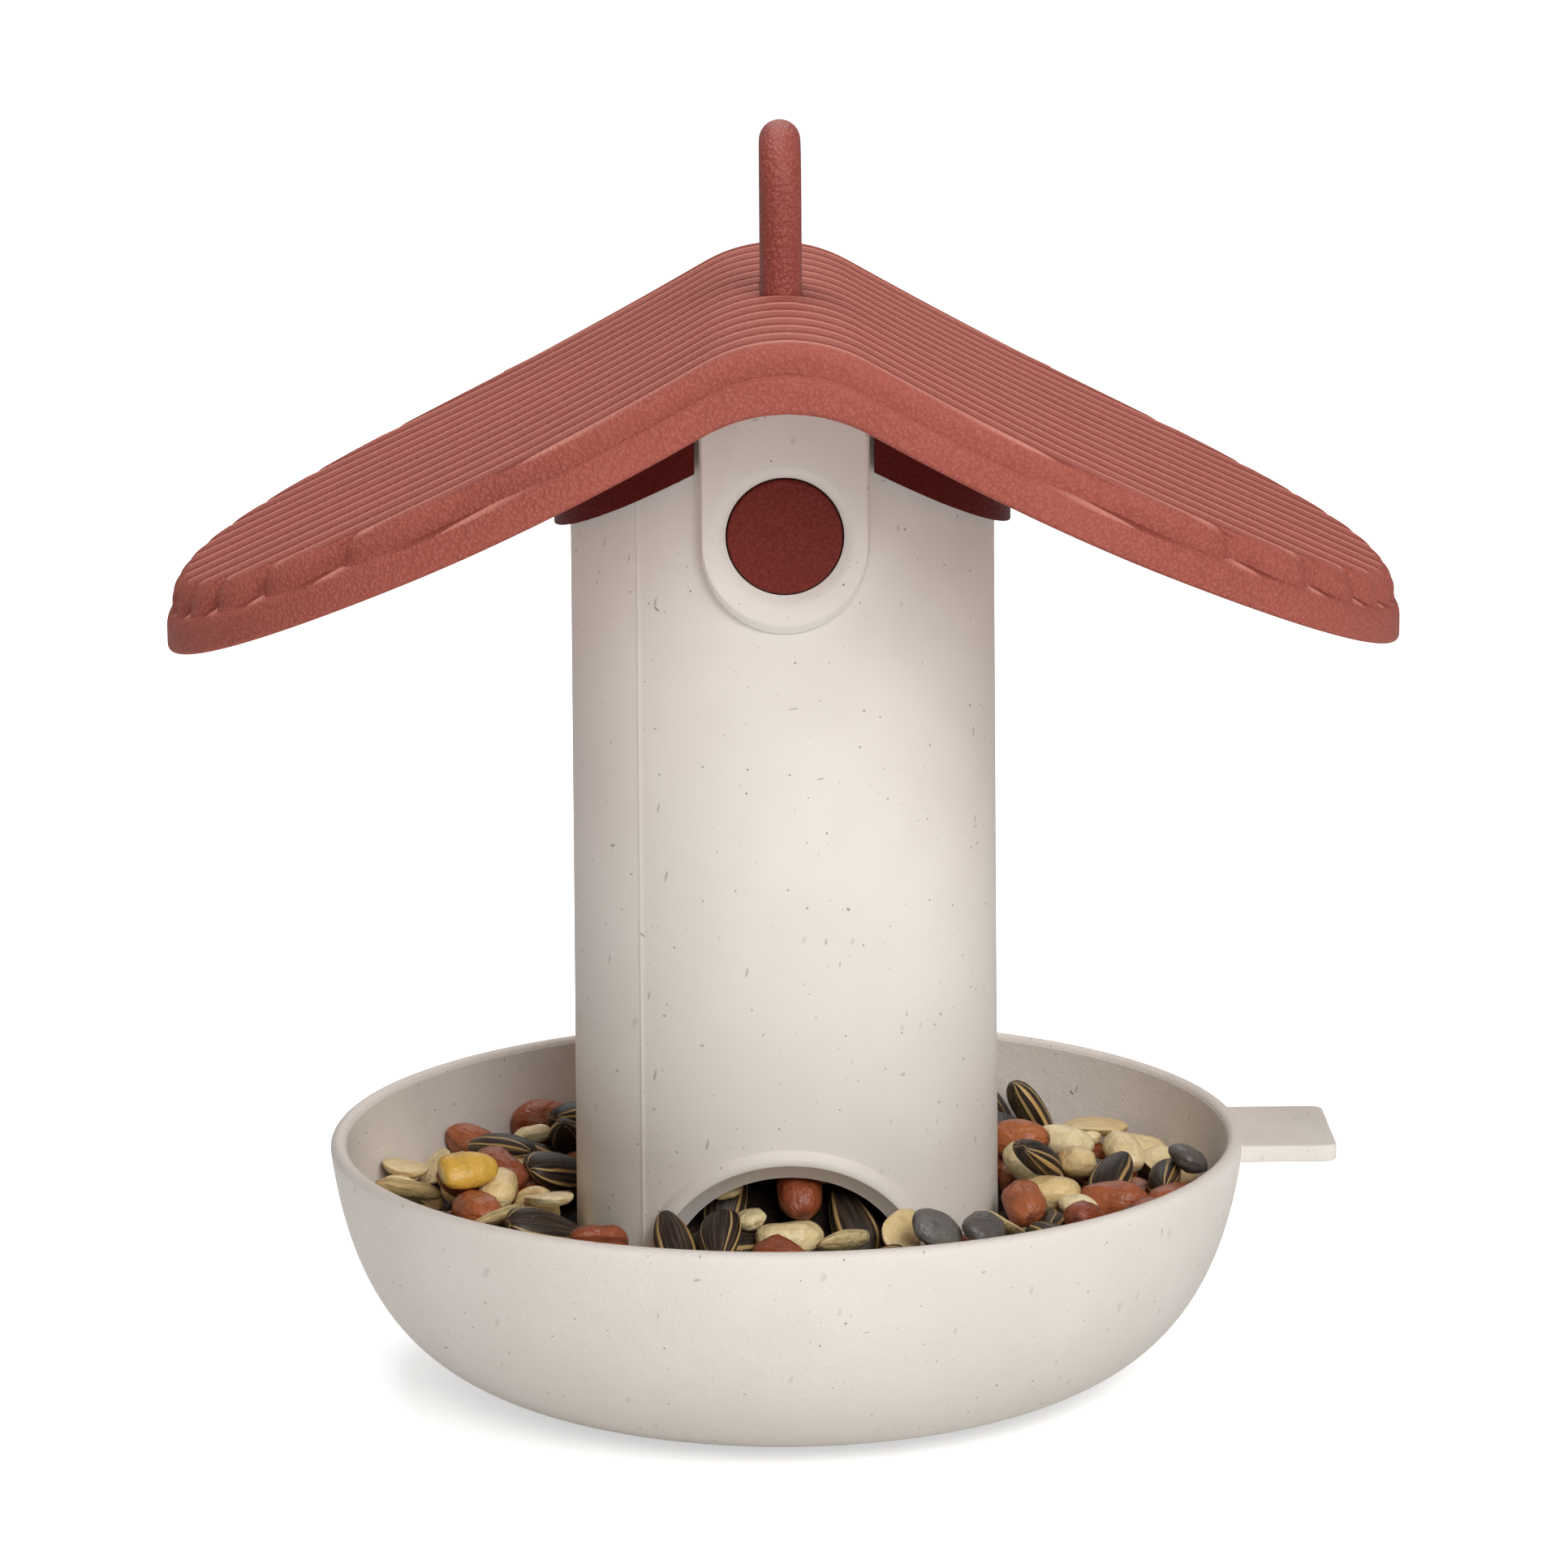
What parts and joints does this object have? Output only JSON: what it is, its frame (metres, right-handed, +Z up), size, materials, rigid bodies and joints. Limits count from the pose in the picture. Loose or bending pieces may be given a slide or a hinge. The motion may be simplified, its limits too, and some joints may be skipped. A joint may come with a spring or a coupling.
{
  "type": "bird feeder",
  "caption": "Seed tube standing in an open bowl with a perch tab, under a ribbed gable roof that unclips with push buttons and hangs from a loop.",
  "frame": {"origin": "centre of the bowl's flat base", "axes": "+Z up through the tube and the hanging loop, +X towards the perch tab and one eave, Y along the ridge with -Y towards the front button"},
  "size_m": [0.241, 0.1806, 0.2484],
  "materials": {
    "speckled_white_plastic": "warm off-white moulded plastic with sparse dark fibre flecks and a fine sandy texture",
    "terracotta_plastic": "brick red moulded plastic with a fine leather grain and a soft sheen",
    "dark_terracotta_plastic": "deep brick red moulded plastic with a fine leather grain",
    "mixed_seed": "loose mixed bird seed",
    "sunflower_husk": "black and cream striped husks",
    "peanut_kernel": "pale kernels, some in red-brown skins"
  },
  "bodies": {
    "base": {"bowl": "speckled_white_plastic", "seed_tube": "speckled_white_plastic", "seed_bed": "mixed_seed", "seed_heap": "mixed_seed", "sunflower_seeds": "sunflower_husk", "peanuts": "peanut_kernel"},
    "roof": {"roof": "terracotta_plastic", "hanging_loop": "terracotta_plastic", "roof_collar": "dark_terracotta_plastic"},
    "front_latch": {"front_latch": "dark_terracotta_plastic"},
    "rear_latch": {"rear_latch": "dark_terracotta_plastic"}
  },
  "joints": [
    {"name": "roof_lift", "type": "slide", "parent": "base", "child": "roof", "axis": [0, 0, 1], "range_m": [0, 0.052], "deforming": ["front_latch", "rear_latch"]},
    {"name": "front_latch_press", "type": "hinge", "parent": "roof", "child": "front_latch", "pos_m": [0, -0.03939, 0.20719], "axis": [1, 0, 0], "range_deg": [0, 6.5], "stiffness_Nm_per_rad": 0.5},
    {"name": "rear_latch_press", "type": "hinge", "parent": "roof", "child": "rear_latch", "pos_m": [0, 0.03939, 0.20719], "axis": [-1, 0, 0], "range_deg": [0, 6.5], "stiffness_Nm_per_rad": 0.5}
  ]
}
